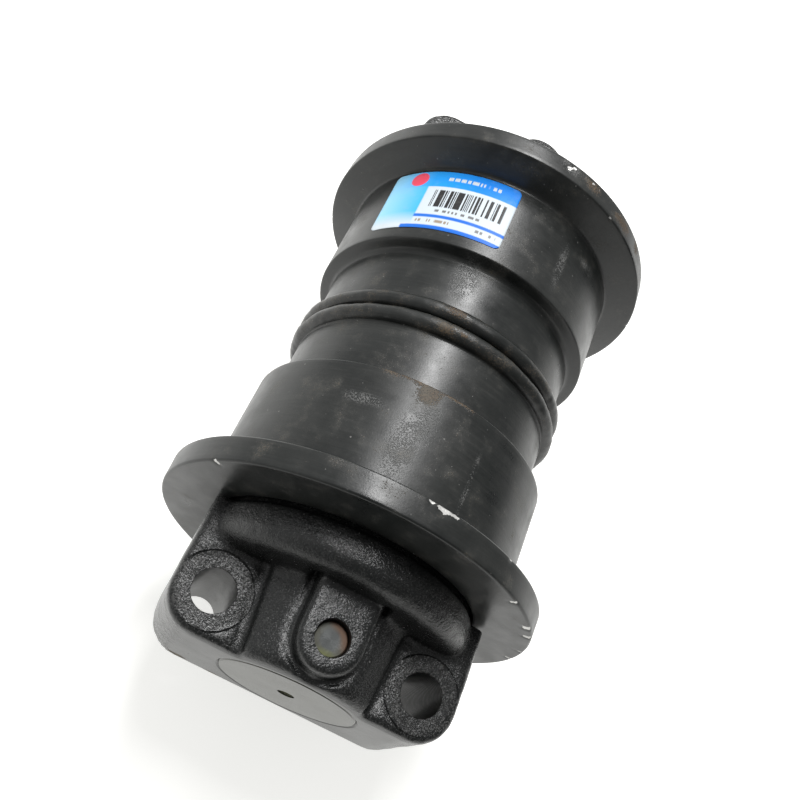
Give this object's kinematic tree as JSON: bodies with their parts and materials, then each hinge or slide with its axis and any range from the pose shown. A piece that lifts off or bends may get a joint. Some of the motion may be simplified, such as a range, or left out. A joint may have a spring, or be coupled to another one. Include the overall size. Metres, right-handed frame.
{
  "type": "track roller",
  "caption": "Crawler undercarriage track roller: a flanged forged shell turns on a bushed shaft held by two bolt-on end collars.",
  "frame": {"origin": "centre of the roller, on its axis of rotation", "axes": "+Y along the roller's axis, +Z towards the bolt heads; the collars' mounting faces look along -Z"},
  "size_m": [0.1758, 0.315, 0.1758],
  "materials": {
    "shell_paint": "satin black paint over forged and machined steel",
    "collar_paint": "glossy black paint over rough cast iron",
    "machined_steel": "turned",
    "pin_steel": "oiled and slightly rusty",
    "bush_bronze": "machined",
    "seal_iron": "lapped",
    "seal_rubber": "matte",
    "plug_rubber": "matte",
    "label_paper": "printed sticker"
  },
  "bodies": {
    "shaft_assembly": {"shaft": "machined_steel", "oil_plug": "plug_rubber", "collar_near": "collar_paint", "collar_far": "collar_paint", "lock_pin_near": "pin_steel", "lock_pin_far": "pin_steel", "shaft_o_ring_near": "seal_rubber", "shaft_o_ring_far": "seal_rubber", "fixed_seal_ring_near": "seal_iron", "fixed_seal_ring_far": "seal_iron", "fixed_toric_near": "seal_rubber", "fixed_toric_far": "seal_rubber"},
    "roller": {"shell_half_near": "shell_paint", "shell_half_far": "shell_paint", "bush_near": "bush_bronze", "bush_far": "bush_bronze", "turning_seal_ring_near": "seal_iron", "turning_seal_ring_far": "seal_iron", "turning_toric_near": "seal_rubber", "turning_toric_far": "seal_rubber", "label": "label_paper"}
  },
  "joints": [
    {"name": "roller_spin", "type": "hinge", "parent": "shaft_assembly", "child": "roller", "pos_m": [0, 0, 0], "axis": [0, 1, 0], "continuous": true}
  ]
}
